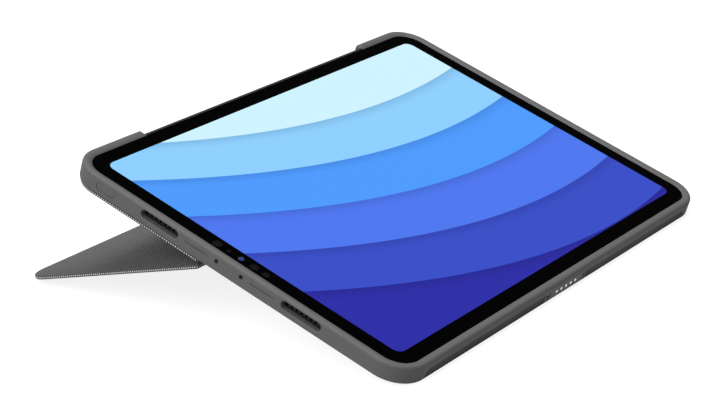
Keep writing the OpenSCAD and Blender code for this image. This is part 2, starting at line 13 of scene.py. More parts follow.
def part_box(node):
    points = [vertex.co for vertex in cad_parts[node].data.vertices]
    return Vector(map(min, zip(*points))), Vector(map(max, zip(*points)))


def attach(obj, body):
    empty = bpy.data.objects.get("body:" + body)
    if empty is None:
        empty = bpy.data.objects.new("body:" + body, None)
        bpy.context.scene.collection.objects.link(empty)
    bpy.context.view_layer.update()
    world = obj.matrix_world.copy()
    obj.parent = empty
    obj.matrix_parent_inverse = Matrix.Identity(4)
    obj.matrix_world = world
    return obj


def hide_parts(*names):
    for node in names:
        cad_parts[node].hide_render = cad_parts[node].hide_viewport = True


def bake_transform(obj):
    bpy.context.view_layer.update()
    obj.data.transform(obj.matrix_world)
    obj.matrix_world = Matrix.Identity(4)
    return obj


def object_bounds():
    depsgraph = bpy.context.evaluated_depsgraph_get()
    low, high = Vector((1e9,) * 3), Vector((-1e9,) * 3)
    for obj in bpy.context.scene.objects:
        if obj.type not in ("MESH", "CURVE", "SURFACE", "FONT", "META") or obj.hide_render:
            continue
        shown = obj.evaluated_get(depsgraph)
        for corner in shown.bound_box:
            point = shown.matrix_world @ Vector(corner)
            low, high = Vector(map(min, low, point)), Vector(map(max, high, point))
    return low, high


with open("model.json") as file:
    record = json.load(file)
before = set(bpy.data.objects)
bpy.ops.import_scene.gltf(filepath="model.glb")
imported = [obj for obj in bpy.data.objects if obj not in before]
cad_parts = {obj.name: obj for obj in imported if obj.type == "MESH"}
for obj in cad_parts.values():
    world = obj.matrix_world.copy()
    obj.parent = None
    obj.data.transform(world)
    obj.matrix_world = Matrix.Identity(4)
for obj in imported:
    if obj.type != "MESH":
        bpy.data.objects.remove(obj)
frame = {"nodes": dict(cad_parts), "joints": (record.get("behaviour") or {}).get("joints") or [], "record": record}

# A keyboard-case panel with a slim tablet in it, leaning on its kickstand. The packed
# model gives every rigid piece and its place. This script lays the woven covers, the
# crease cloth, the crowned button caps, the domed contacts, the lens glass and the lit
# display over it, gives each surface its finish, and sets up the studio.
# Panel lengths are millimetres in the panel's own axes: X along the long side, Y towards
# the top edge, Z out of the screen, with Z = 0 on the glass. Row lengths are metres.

CAD_BOX = [list(map(float, corner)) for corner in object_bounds()]
MM = 0.001
GLASS_T = 0.7
LOG = logging.getLogger("case")

MATH = "ShaderNodeMath"
MIX = "ShaderNodeMix"
NOISE = "ShaderNodeTexNoise"
RANGE = "ShaderNodeMapRange"
SPLIT = "ShaderNodeSeparateXYZ"
WHITE = (1.0, 1.0, 1.0, 1.0)
BLACK = (0.0, 0.0, 0.0, 1.0)


# ---------------------------------------------------------------- node helpers

def linear(hex_colour: str) -> tuple[float, float, float, float]:
    """Turns an sRGB hex colour into the linear colour that shaders take.

    Args:
        hex_colour: "#rrggbb".

    Returns:
        Red, green, blue and an alpha of 1.
    """
    code = hex_colour.lstrip("#")
    part = np.array([int(code[i:i + 2], 16) for i in (0, 2, 4)]) / 255.0
    low, high = part / 12.92, ((part + 0.055) / 1.055) ** 2.4
    red, green, blue = np.where(part <= 0.04045, low, high)
    return float(red), float(green), float(blue), 1.0


def add(tree: bpy.types.NodeTree, kind: str, settings: dict | None = None,
        inputs: dict | None = None, out: int | str = 0) -> bpy.types.NodeSocket:
    """Adds one node, sets its properties, and fills or links its inputs.

    Args:
        tree: the node tree that takes it.
        kind: the node's type.
        settings: its properties by name.
        inputs: values or output sockets, by the input's name or number.
        out: the output wanted, by name or number.

    Returns:
        That output socket; its .node is the node.
    """
    node = tree.nodes.new(kind)
    for name, value in (settings or {}).items():
        setattr(node, name, value)
    for key, value in (inputs or {}).items():
        if isinstance(value, bpy.types.NodeSocket):
            tree.links.new(value, node.inputs[key])
        else:
            node.inputs[key].default_value = value
    return node.outputs[out] if len(node.outputs) else node


def mix_colour(factor: float | bpy.types.NodeSocket, first: object, second: object) -> dict:
    """Returns the inputs of a colour Mix node, whose sockets have no names of their own."""
    return {0: factor, 6: first, 7: second}


# ---------------------------------------------------------------- finishes

class Lay(Enum):
    """Which way a directional grain runs, in the row's own axes."""

    ALONG_X = (1.0, 0.05, 0.05)
    NONE = (1.0, 1.0, 1.0)


@dataclass(frozen=True)
class Finish:
    """A material: what it is made of, its plain shader values and its grain."""

    name: str
    slot: str
    colour: str
    worn: str
    roughness: float
    metallic: float = 0.0
    ior: float = 1.5
    gloss: float = 0.5
    sheen: float = 0.0
    grain_mm: float = 0.4
    depth_mm: float = 0.01
    patch_mm: float = 30.0
    lay: Lay = Lay.NONE

    def place(self, tree: bpy.types.NodeTree) -> bpy.types.NodeSocket:
        """Returns the piece's own place, which the grain follows."""
        return add(tree, "ShaderNodeTexCoord", out="Object")

    def pattern(self, tree: bpy.types.NodeTree) -> dict[str, bpy.types.NodeSocket]:
        """Builds the grain: a fine relief, a broad drift of colour and of polish.

        Args:
            tree: the material's node tree.

        Returns:
            Sockets named colour, roughness and height.
        """
        where = add(tree, "ShaderNodeVectorMath", {"operation": "MULTIPLY"},
                    {0: self.place(tree), 1: self.lay.value})
        fine = add(tree, NOISE, {}, {"Vector": where, "Scale": 1 / (self.grain_mm * MM),
                                     "Detail": 2.0, "Roughness": 0.6})
        broad = add(tree, NOISE, {}, {"Vector": where, "Scale": 1 / (self.patch_mm * MM),
                                      "Detail": 3.0})
        speck = add(tree, RANGE, {}, {0: fine, 1: 0.35, 2: 0.65, 3: 0.0, 4: 0.55})
        drift = add(tree, MATH, {"operation": "MULTIPLY_ADD", "use_clamp": True},
                    {0: broad, 1: 0.9, 2: -0.2})
        both = add(tree, MATH, {"operation": "MULTIPLY_ADD", "use_clamp": True},
                   {0: drift, 1: 0.45, 2: speck})
        colour = add(tree, MIX, {"data_type": "RGBA"},
                     mix_colour(both, linear(self.colour), linear(self.worn)), 2)
        rough = add(tree, RANGE, {}, {0: broad, 1: 0.3, 2: 0.7, 3: self.roughness * 0.92,
                                      4: min(1.0, self.roughness * 1.08)})
        return {"colour": colour, "roughness": rough, "height": fine}

    def shader_values(self) -> dict[str, object]:
        """Returns the constants that sit on the shader's own sockets."""
        return {"Metallic": self.metallic, "IOR": self.ior, "Specular IOR Level": self.gloss,
                "Sheen Weight": self.sheen, "Sheen Roughness": 0.5}

    def make(self) -> bpy.types.Material:
        """Builds the material once and returns it on every later call."""
        material = bpy.data.materials.get(self.name)
        if material:
            return material
        material = bpy.data.materials.new(self.name)
        material.use_nodes = True
        tree = material.node_tree
        tree.nodes.clear()
        found = self.pattern(tree)
        inputs = self.shader_values()
        for socket, key in (("Base Color", "colour"), ("Roughness", "roughness"),
                            ("Emission Color", "light")):
            if key in found:
                inputs[socket] = found[key]
        if "height" in found:
            inputs["Normal"] = add(tree, "ShaderNodeBump", {}, {
                "Height": found["height"], "Strength": 1.0, "Distance": self.depth_mm * MM})
        surface = add(tree, "ShaderNodeBsdfPrincipled", {}, inputs)
        add(tree, "ShaderNodeOutputMaterial", {}, {"Surface": surface})
        material.diffuse_color = linear(self.colour)
        return material


@dataclass(frozen=True)
class Twill(Finish):
    """Two-tone polyester twill: diagonal ridges of yarn, with pale yarn ends at a cut edge."""

    pitch_mm: float = 1.25
    ridge_mm: float = 1.5
    rise: float = -0.745
    yarn_end: str = "#a6a6a6"
    end_gap: str = "#2c2c2d"

    def pattern(self, tree: bpy.types.NodeTree) -> dict[str, bpy.types.NodeSocket]:
        """Draws ridges at phase (y - rise * x) / pitch, and yarn ends along a cut edge.

        Args:
            tree: the material's node tree.

        Returns:
            Sockets named colour, roughness and height.
        """
        flat = add(tree, "ShaderNodeUVMap", {"uv_map": "cloth"})
        split = add(tree, SPLIT, {}, {0: flat}).node
        across, along = split.outputs[0], split.outputs[1]
        turns = 2 * np.pi / self.pitch_mm
        ridges = 2 * np.pi / self.ridge_mm
        slope = add(tree, MATH, {"operation": "MULTIPLY_ADD"}, {0: across, 1: -self.rise, 2: along})
        ridge = add(tree, MATH, {"operation": "SINE"}, {0: add(
            tree, MATH, {"operation": "MULTIPLY"}, {0: slope, 1: ridges})})
        fibre = add(tree, NOISE, {}, {"Vector": flat, "Scale": 2.5, "Detail": 3.0})
        fuzzed = add(tree, MATH, {"operation": "MULTIPLY_ADD"}, {0: fibre, 1: 1.2, 2: ridge})
        tone = add(tree, RANGE, {}, {0: fuzzed, 1: -0.5, 2: 1.7, 3: 0.0, 4: 1.0})
        colour = add(tree, MIX, {"data_type": "RGBA"},
                     mix_colour(tone, linear(self.colour), linear(self.worn)), 2)

        # Cut yarn ends: a round pale dot in the middle of the edge at every pitch.
        edge = add(tree, SPLIT, {}, {0: add(tree, "ShaderNodeUVMap", {"uv_map": "edge"})}).node
        beat = add(tree, MATH, {"operation": "COSINE"}, {0: add(
            tree, MATH, {"operation": "MULTIPLY"}, {0: edge.outputs[0], 1: turns})})
        level = add(tree, MATH, {"operation": "MULTIPLY_ADD"}, {
            0: add(tree, MATH, {"operation": "ABSOLUTE"}, {0: edge.outputs[1]}), 1: -3.0, 2: beat})
        dot = add(tree, RANGE, {}, {0: level, 1: -0.3, 2: 0.3, 3: 0.0, 4: 1.0})
        ends = add(tree, MIX, {"data_type": "RGBA"},
                   mix_colour(dot, linear(self.end_gap), linear(self.yarn_end)), 2)
        cut = add(tree, "ShaderNodeAttribute", {"attribute_name": "cut"}, out="Fac")
        colour = add(tree, MIX, {"data_type": "RGBA"}, mix_colour(cut, colour, ends), 2)
        rough = add(tree, RANGE, {}, {0: fibre, 1: 0.3, 2: 0.7, 3: 0.82, 4: 0.95})
        return {"colour": colour, "roughness": rough, "height": fuzzed}


@dataclass(frozen=True)
class LitPicture(Finish):
    """A lit display showing a plain picture: even bands of blue, each under a soft shadow.

    Every band has the same bowed upper edge, one step lower than the band before it. Its height
    at x is top_mm + tilt * x + bow_mm * (x / 100 mm)^2. The blues run from pale to deep.
    """

    blues: tuple[str, ...] = ("#d0f4ff", "#90d0ff", "#509cff", "#5078f0", "#3c50c8", "#3030a8")
    top_mm: float = 55.0
    step_mm: float = 32.0
    tilt: float = -0.2
    bow_mm: float = 15.0
    shadow_mm: float = 9.0
    shade: float = 0.76

    def layer(self, tree: bpy.types.NodeTree, under: object,
              below: bpy.types.NodeSocket, tint: object) -> bpy.types.NodeSocket:
        """Lays one band over what is there so far, wherever below is positive.

        Args:
            tree: the material's node tree.
            under: the colour so far.
            below: how far a point is inside the new band, in millimetres.
            tint: the band's own colour.

        Returns:
            The new colour so far.
        """
        mask = add(tree, RANGE, {}, {0: below, 1: -0.15, 2: 0.15, 3: 0.0, 4: 1.0})
        dim = add(tree, RANGE, {"interpolation_type": "SMOOTHERSTEP"},
                  {0: below, 1: -0.4 * self.shadow_mm, 2: self.shadow_mm, 3: self.shade, 4: 1.0})
        shaded = add(tree, "ShaderNodeVectorMath", {"operation": "SCALE"},
                     {0: tint, "Scale": dim})
        return add(tree, MIX, {"data_type": "RGBA"}, mix_colour(mask, under, shaded), 2)

    def pattern(self, tree: bpy.types.NodeTree) -> dict[str, bpy.types.NodeSocket]:
        """Stacks the bands from the top edge down.

        Args:
            tree: the material's node tree.

        Returns:
            Sockets named light and roughness.
        """
        spot = add(tree, "ShaderNodeUVMap", {"uv_map": "picture"})
        split = add(tree, SPLIT, {}, {0: spot}).node
        x, y = split.outputs[0], split.outputs[1]
        leaning = add(tree, MATH, {"operation": "MULTIPLY_ADD"},
                      {0: x, 1: self.bow_mm / 100 ** 2, 2: self.tilt})
        edge = add(tree, MATH, {"operation": "MULTIPLY_ADD"}, {0: x, 1: leaning, 2: self.top_mm})
        depth = add(tree, MATH, {"operation": "SUBTRACT"}, {0: edge, 1: y})
        colour = linear(self.blues[0])
        for step, blue in enumerate(self.blues[1:]):
            below = add(tree, MATH, {"operation": "SUBTRACT"}, {0: depth, 1: step * self.step_mm})
            colour = self.layer(tree, colour, below, linear(blue)[:3])
        haze = add(tree, NOISE, {}, {"Vector": spot, "Scale": 0.05, "Detail": 2.0})
        rough = add(tree, RANGE, {}, {0: haze, 1: 0.3, 2: 0.7, 3: 0.06, 4: 0.12})
        return {"light": colour, "roughness": rough}

    def shader_values(self) -> dict[str, object]:
        """Returns the black glass the picture lies under, lit from behind."""
        return super().shader_values() | {"Base Color": BLACK, "Emission Strength": 1.0}


@dataclass(frozen=True)
class RingedLens(Finish):
    """Coated lens glass: dark steps of the barrel seen through it, with a painted blue reflection of the coating
    in a ring.
    """

    coating_reflection: str = "#1a3a92"

    def pattern(self, tree: bpy.types.NodeTree) -> dict[str, bpy.types.NodeSocket]:
        """Colours by the share of the radius, which the piece's own map holds in x.

        Args:
            tree: the material's node tree.

        Returns:
            Sockets named colour and roughness.
        """
        split = add(tree, SPLIT, {}, {0: add(tree, "ShaderNodeUVMap", {"uv_map": "ring"})}).node
        share = split.outputs[0]
        ramp = add(tree, "ShaderNodeValToRGB", {}, {0: share})
        stops = ramp.node.color_ramp
        stops.elements[0].color, stops.elements[1].color = linear("#05060a"), linear(self.worn)
        # The bluish stops, strongest at half the radius, are a painted reflection of the lens coating.
        for place, tint in ((0.3, "#0a1024"), (0.5, self.coating_reflection), (0.68, "#141b33"), (0.82, "#08080a")):
            stops.elements.new(place).color = linear(tint)
        haze = add(tree, NOISE, {}, {"Vector": self.place(tree), "Scale": 1 / (3 * MM)})
        rough = add(tree, RANGE, {}, {0: haze, 1: 0.3, 2: 0.7, 3: 0.04, 4: 0.1})
        return {"colour": ramp, "roughness": rough}


@dataclass(frozen=True)
class BackLit(Finish):
    """A pale sheet with an even light under it, so that what stands on it casts little shade."""

    glow: float = 0.84

    def shader_values(self) -> dict[str, object]:
        """Returns the sheet's own values and its light."""
        return super().shader_values() | {"Emission Color": WHITE, "Emission Strength": self.glow}


@dataclass(frozen=True)
class Tracks(Finish):
    """Solder mask over copper: straight tracks in a slightly lighter green."""

    def pattern(self, tree: bpy.types.NodeTree) -> dict[str, bpy.types.NodeSocket]:
        """Lays a brick pattern of tracks over the moulded grain.

        Args:
            tree: the material's node tree.

        Returns:
            Sockets named colour, roughness and height.
        """
        found = super().pattern(tree)
        found["colour"] = add(tree, "ShaderNodeTexBrick", {}, {
            "Vector": self.place(tree), "Scale": 1 / (12 * MM), "Color1": linear(self.colour),
            "Color2": linear(self.colour), "Mortar": linear(self.worn), "Mortar Size": 0.03})
        return found


# What each slot of the record is made of. The comment says what the eye gets from it.
FINISHES = {f.slot: f for f in (
    # Moulded soft-touch TPU from a spark-eroded tool: an even dark grey with a dry glow.
    Finish("soft_touch_tpu", "rim_elastomer", "#3e3e3e", "#464646", 0.68, gloss=0.15,
           grain_mm=0.5, depth_mm=0.006),
    # Moulded ABS, fine matt: a darker, flatter band than the rim round it.
    Finish("matt_abs", "strip_plastic", "#1f1f20", "#252526", 0.6, gloss=0.1, grain_mm=0.3,
           depth_mm=0.004),
    # Moulded polycarbonate: the slightly lighter island that holds the contacts.
    Finish("dock_polycarbonate", "housing_plastic", "#38383a", "#3f3f41", 0.55, gloss=0.2,
           grain_mm=0.3, depth_mm=0.003),
    # Spark-eroded glass-filled nylon: coarse and dull, inside the back.
    Finish("glass_filled_nylon", "plate_plastic", "#5e5e61", "#68686b", 0.7, grain_mm=0.8,
           depth_mm=0.02),
    # Polyester twill, glued to its board: fine dark ribs with a dry, slightly napped glow,
    # and a row of pale yarn ends where the cloth turns over the board's edge.
    Twill("polyester_twill", "woven_fabric", "#161617", "#404041", 0.9, gloss=0.15,
          sheen=0.08, depth_mm=0.1),
    # Napped microfibre: short soft pile that scatters light and shows faint brushing.
    Finish("napped_microfibre", "microfibre", "#3c3c3f", "#4a4a4e", 0.95, sheen=0.5,
           grain_mm=0.25, depth_mm=0.05, patch_mm=18),
    # Gold flash over nickel on brass pins, worn pale by docking: small bright near-white glints.
    Finish("plated_brass", "gold_contact", "#e4e0d6", "#f2f0ea", 0.28, metallic=1.0,
           grain_mm=0.2, depth_mm=0.002),
    # Nickel plate on neodymium: bright and slightly yellow-grey.
    Finish("nickel_plate", "nickel", "#bdbbb4", "#d0cfc9", 0.3, metallic=1.0, grain_mm=0.5,
           depth_mm=0.003),
    # Stamped stainless steel, brushed along the hinge.
    Finish("brushed_steel", "steel", "#8d9094", "#a8abaf", 0.38, metallic=1.0, grain_mm=0.15,
           depth_mm=0.004, lay=Lay.ALONG_X),
    # Polyimide film: a clear amber sheet over copper.
    Finish("polyimide_film", "flex_film", "#8a4a18", "#a86126", 0.3, grain_mm=1.0, depth_mm=0.002),
    # Bead-blasted, anodised aluminium, very dark grey: a fine sparkle and a soft, dim highlight.
    Finish("anodised_aluminium", "tablet_aluminium", "#2c2c2e", "#363638", 0.45, metallic=1.0,
           grain_mm=0.12, depth_mm=0.003),
    # Polished glass over black ink with an anti-reflective coat, so it stays near black.
    Finish("inked_glass", "cover_glass", "#010101", "#020202", 0.1, gloss=0.003, grain_mm=2.0,
           depth_mm=0.0002),
    # The lit display under the same glass: flat, even light with soft shadows between bands.
    LitPicture("picture_behind_glass", "lit_display", "#509cff", "#509cff", 0.1, gloss=0.01),
    # Coated lens glass: near black, with a small deep blue ring that is a painted reflection of the coating.
    RingedLens("coated_lens", "camera_glass", "#06070c", "#0b0b0e", 0.06, gloss=0.2),
    # Smoked acrylic windows, only just lighter than the ink round them.
    Finish("smoked_acrylic", "sensor_window", "#080809", "#0b0b0c", 0.2, gloss=0.02, grain_mm=1.0,
           depth_mm=0.001),
    # Laminated aluminium pouch, printed black.
    Finish("pouch_laminate", "battery_foil", "#2c2c30", "#3a3a3e", 0.45, grain_mm=3.0,
           depth_mm=0.05),
    Tracks("solder_mask", "circuit_board", "#0b3d22", "#17603a", 0.4, grain_mm=0.6, depth_mm=0.01),
    # Moulded ABS box, plain black.
    Finish("box_abs", "speaker_plastic", "#202022", "#29292b", 0.6, grain_mm=0.5, depth_mm=0.01),
    # Enamelled copper wire, wound along the top edge.
    Finish("enamelled_copper", "copper_coil", "#b4693f", "#c9835a", 0.35, metallic=1.0,
           grain_mm=0.3, depth_mm=0.02, lay=Lay.ALONG_X),
)}


# ---------------------------------------------------------------- surfaces

@dataclass
class Surface:
    """Points with faces, and what a material reads from them."""

    points: np.ndarray
    faces: list[np.ndarray]
    maps: dict[str, list[np.ndarray]] = field(default_factory=dict)
    marks: dict[str, np.ndarray] = field(default_factory=dict)

    @classmethod
    def joined(cls, parts: list["Surface"]) -> "Surface":
        """Puts several surfaces with the same maps and marks into one.

        Args:
            parts: the surfaces.

        Returns:
            One surface that holds them all.
        """
        starts = np.cumsum([0] + [len(p.points) for p in parts[:-1]])
        return cls(
            np.concatenate([p.points for p in parts]),
            [f + s for p, s in zip(parts, starts) for f in p.faces],
            {k: [m for p in parts for m in p.maps[k]] for k in parts[0].maps},
            {k: np.concatenate([p.marks[k] for p in parts]) for k in parts[0].marks})

    def flat_map(self, name: str) -> "Surface":
        """Adds a map that holds each point's own x and y, and returns the surface."""
        self.maps[name] = [self.points[f][:, :, :2] for f in self.faces]
        return self


def ring_faces(rows: int, columns: int) -> np.ndarray:
    """Returns the quads between rows of points that close on themselves."""
    row, column = np.meshgrid(np.arange(rows - 1), np.arange(columns), indexing="ij")
    after = (column + 1) % columns
    return np.stack([row * columns + column, row * columns + after,
                     (row + 1) * columns + after, (row + 1) * columns + column],
                    axis=-1).reshape(-1, 4)


def closed_shell(rings: np.ndarray) -> Surface:
    """Skins a stack of closed rings and closes each end with a fan to its own middle.

    Args:
        rings: an array of rings, points and coordinates.

    Returns:
        The closed surface.
    """
    rows, columns, _ = rings.shape
    ends = rings[[0, -1]].mean(axis=1)
    turn = np.arange(columns)
    after = (turn + 1) % columns
    middle = rows * columns
    last = (rows - 1) * columns
    fans = np.concatenate([
        np.stack([np.full(columns, middle), after, turn], axis=1),
        np.stack([np.full(columns, middle + 1), last + turn, last + after], axis=1)])
    return Surface(np.concatenate([rings.reshape(-1, 3), ends]), [ring_faces(rows, columns), fans])


def even_steps(outline: np.ndarray, step: float) -> np.ndarray:
    """Walks a closed outline in even steps, four to each whole pitch.

    Args:
        outline: its points in order, the first not repeated.
        step: the pitch wanted, in millimetres; it is trimmed so that whole ones fit.

    Returns:
        The points of the walk.
    """
    loop = np.concatenate([outline, outline[:1]])
    gone = np.concatenate([[0.0], np.cumsum(np.linalg.norm(np.diff(loop, axis=0), axis=1))])
    count = 4 * int(round(gone[-1] / step))
    at = np.arange(count) / count * gone[-1]
    return np.stack([np.interp(at, gone, loop[:, i]) for i in (0, 1)], axis=1)


def rounded_outline(corners: list[tuple[float, float, float]], step: float) -> np.ndarray:
    """Rounds the corners of a closed polygon and walks it in even steps.

    An arc's centre lies on the corner's bisector, its radius over the sine of half the
    corner's angle away, and the arc runs between the points where it meets the sides.

    Args:
        corners: x, y and radius of each corner, counter-clockwise.
        step: the pitch of the walk.

    Returns:
        The outline's points.
    """
    table = np.asarray(corners, float)
    spot, radius = table[:, :2], table[:, 2:3]
    back, ahead = np.roll(spot, 1, axis=0) - spot, np.roll(spot, -1, axis=0) - spot
    back /= np.linalg.norm(back, axis=1, keepdims=True)
    ahead /= np.linalg.norm(ahead, axis=1, keepdims=True)
    half = np.arccos(np.clip((back * ahead).sum(axis=1, keepdims=True), -1, 1)) / 2
    bisector = (back + ahead) / np.linalg.norm(back + ahead, axis=1, keepdims=True)
    centre = spot + bisector * radius / np.sin(half)
    first = spot + back * radius / np.tan(half) - centre
    last = spot + ahead * radius / np.tan(half) - centre
    begin = np.arctan2(first[:, 1], first[:, 0])[:, None]
    turn = np.arctan2(last[:, 1], last[:, 0])[:, None] - begin
    turn = (turn + np.pi) % (2 * np.pi) - np.pi
    angle = begin + turn * np.linspace(0, 1, 25)
    arcs = centre[:, None] + radius[:, None] * np.stack([np.cos(angle), np.sin(angle)], axis=-1)
    return even_steps(arcs.reshape(-1, 2), step)


def outward(outline: np.ndarray) -> np.ndarray:
    """Returns the unit normals of a counter-clockwise outline."""
    run = np.roll(outline, -1, axis=0) - np.roll(outline, 1, axis=0)
    run /= np.linalg.norm(run, axis=1, keepdims=True)
    return np.stack([run[:, 1], -run[:, 0]], axis=1)


def turned(profile: np.ndarray, centre: np.ndarray, axis: np.ndarray, count: int = 32) -> Surface:
    """Turns a profile of radius and height round an axis.

    A point is centre + axis * height + radius * (side * cos a + other * sin a).

    Args:
        profile: rows of radius and height, none on the axis.
        centre: where the axis stands.
        axis: its unit direction.
        count: points in a turn.

    Returns:
        The closed surface, with a map named ring that holds the share of the radius.
    """
    angle = np.arange(count) * 2 * np.pi / count
    side = np.cross(axis, (1.0, 0, 0) if abs(axis[0]) < 0.9 else (0, 1.0, 0))
    side /= np.linalg.norm(side)
    other = np.cross(axis, side)
    spoke = np.cos(angle)[:, None] * side + np.sin(angle)[:, None] * other
    rings = (centre + profile[:, None, 1:2] * axis) + profile[:, None, 0:1] * spoke
    shell = closed_shell(rings)
    share = np.concatenate([np.repeat(profile[:, 0], count), [0, 0]]) / profile[:, 0].max()
    pairs = np.stack([share, share], axis=1)
    shell.maps["ring"] = [pairs[f] for f in shell.faces]
    return shell


# ---------------------------------------------------------------- places and pieces

class Pose(Enum):
    """Whether a piece is laid on the panel or on the swung kickstand."""

    PANEL = "panel"
    STAND = "stand"


@dataclass(frozen=True)
class Panel:
    """The leaning panel's own axes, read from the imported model."""

    origin: np.ndarray
    up: np.ndarray
    out: np.ndarray
    hinge: np.ndarray
    swing: float

    @classmethod
    def from_frame(cls) -> "Panel":
        """Finds the axes from the volume key's travel, the glass and the hinge."""
        joints = {j["name"]: j for j in frame["joints"]}
        up = -np.array(joints["volume_up_press"]["axis"], float)
        up /= np.linalg.norm(up)
        out = np.cross((1.0, 0, 0), up)
        low, high = (np.array(c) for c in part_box("cover_glass"))
        hinge = joints["kickstand_hinge"]
        return cls((low + high) / 2 + out * GLASS_T / 2 * MM, up, out,
                   np.array(hinge["pos_m"], float), -np.radians(hinge["range_deg"][0]))

    def place(self, points: np.ndarray, pose: Pose = Pose.PANEL) -> np.ndarray:
        """Moves panel millimetres into the row, in metres.

        Args:
            points: x, y and z in the panel's axes, as if the kickstand were closed.
            pose: STAND swings them open with the kickstand.

        Returns:
            The same points in the row.
        """
        p = np.asarray(points, float)
        row = self.origin + MM * (p[:, :1] * (1.0, 0, 0) + p[:, 1:2] * self.up + p[:, 2:] * self.out)
        if pose is Pose.PANEL:
            return row
        arm = row - self.hinge
        c, s = np.cos(self.swing), np.sin(self.swing)
        return self.hinge + np.stack([arm[:, 0], arm[:, 1] * c - arm[:, 2] * s,
                                      arm[:, 1] * s + arm[:, 2] * c], axis=1)


@dataclass
class Maker:
    """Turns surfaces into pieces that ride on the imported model's bodies."""

    panel: Panel
    made: int = 0

    def piece(self, name: str, surface: Surface, slot: str, pose: Pose = Pose.PANEL,
              sharp: float = 40.0) -> bpy.types.Object:
        """Builds a mesh object at the origin, with its place in its mesh.

        Args:
            name: the piece's name.
            surface: its points and faces, in panel millimetres.
            slot: the record's slot that gives its finish.
            pose: where it is laid.
            sharp: the angle past which an edge isn't smoothed, in degrees.

        Returns:
            The object.
        """
        mesh = bpy.data.meshes.new(name)
        points = self.panel.place(surface.points, pose)
        loops = np.concatenate([f.ravel() for f in surface.faces]).astype(np.int32)
        sizes = np.concatenate([np.full(len(f), f.shape[1]) for f in surface.faces])
        mesh.vertices.add(len(points))
        mesh.vertices.foreach_set("co", points.astype(np.float32).ravel())
        mesh.loops.add(len(loops))
        mesh.loops.foreach_set("vertex_index", loops)
        mesh.polygons.add(len(sizes))
        mesh.polygons.foreach_set("loop_start", (np.cumsum(sizes) - sizes).astype(np.int32))
        mesh.update(calc_edges=True)
        for key, parts in surface.maps.items():
            layer = mesh.uv_layers.new(name=key)
            layer.data.foreach_set("uv", np.concatenate([m.ravel() for m in parts]).astype(np.float32))
        for key, values in surface.marks.items():
            mark = mesh.attributes.new(key, "FLOAT", "POINT")
            mark.data.foreach_set("value", values.astype(np.float32))
        mesh.validate()
        shell = bmesh.new()
        shell.from_mesh(mesh)
        bmesh.ops.recalc_face_normals(shell, faces=shell.faces)
        shell.to_mesh(mesh)
        shell.free()
        mesh.shade_smooth()
        mesh.set_sharp_from_angle(angle=np.radians(sharp))
        mesh.materials.append(FINISHES[slot].make())
        made = bpy.data.objects.new(name, mesh)
        bpy.context.scene.collection.objects.link(made)
        self.made += 1
        LOG.info("%s: %d points, %s", name, len(points), slot)
        return made


# ---------------------------------------------------------------- sub-assemblies

@dataclass
class CadPieces:
    """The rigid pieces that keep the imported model's own shape."""

    pieces: dict[str, bpy.types.Object]
    subparts: list[dict]

    def dress(self) -> None:
        """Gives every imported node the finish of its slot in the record."""
        for part in self.subparts:
            node = self.pieces[part["node"]]
            finish = FINISHES[part["material_slot"]].make()
            node.data.materials.clear()
            node.data.materials.append(finish)
            LOG.info("%s: %s", part["node"], finish.name)


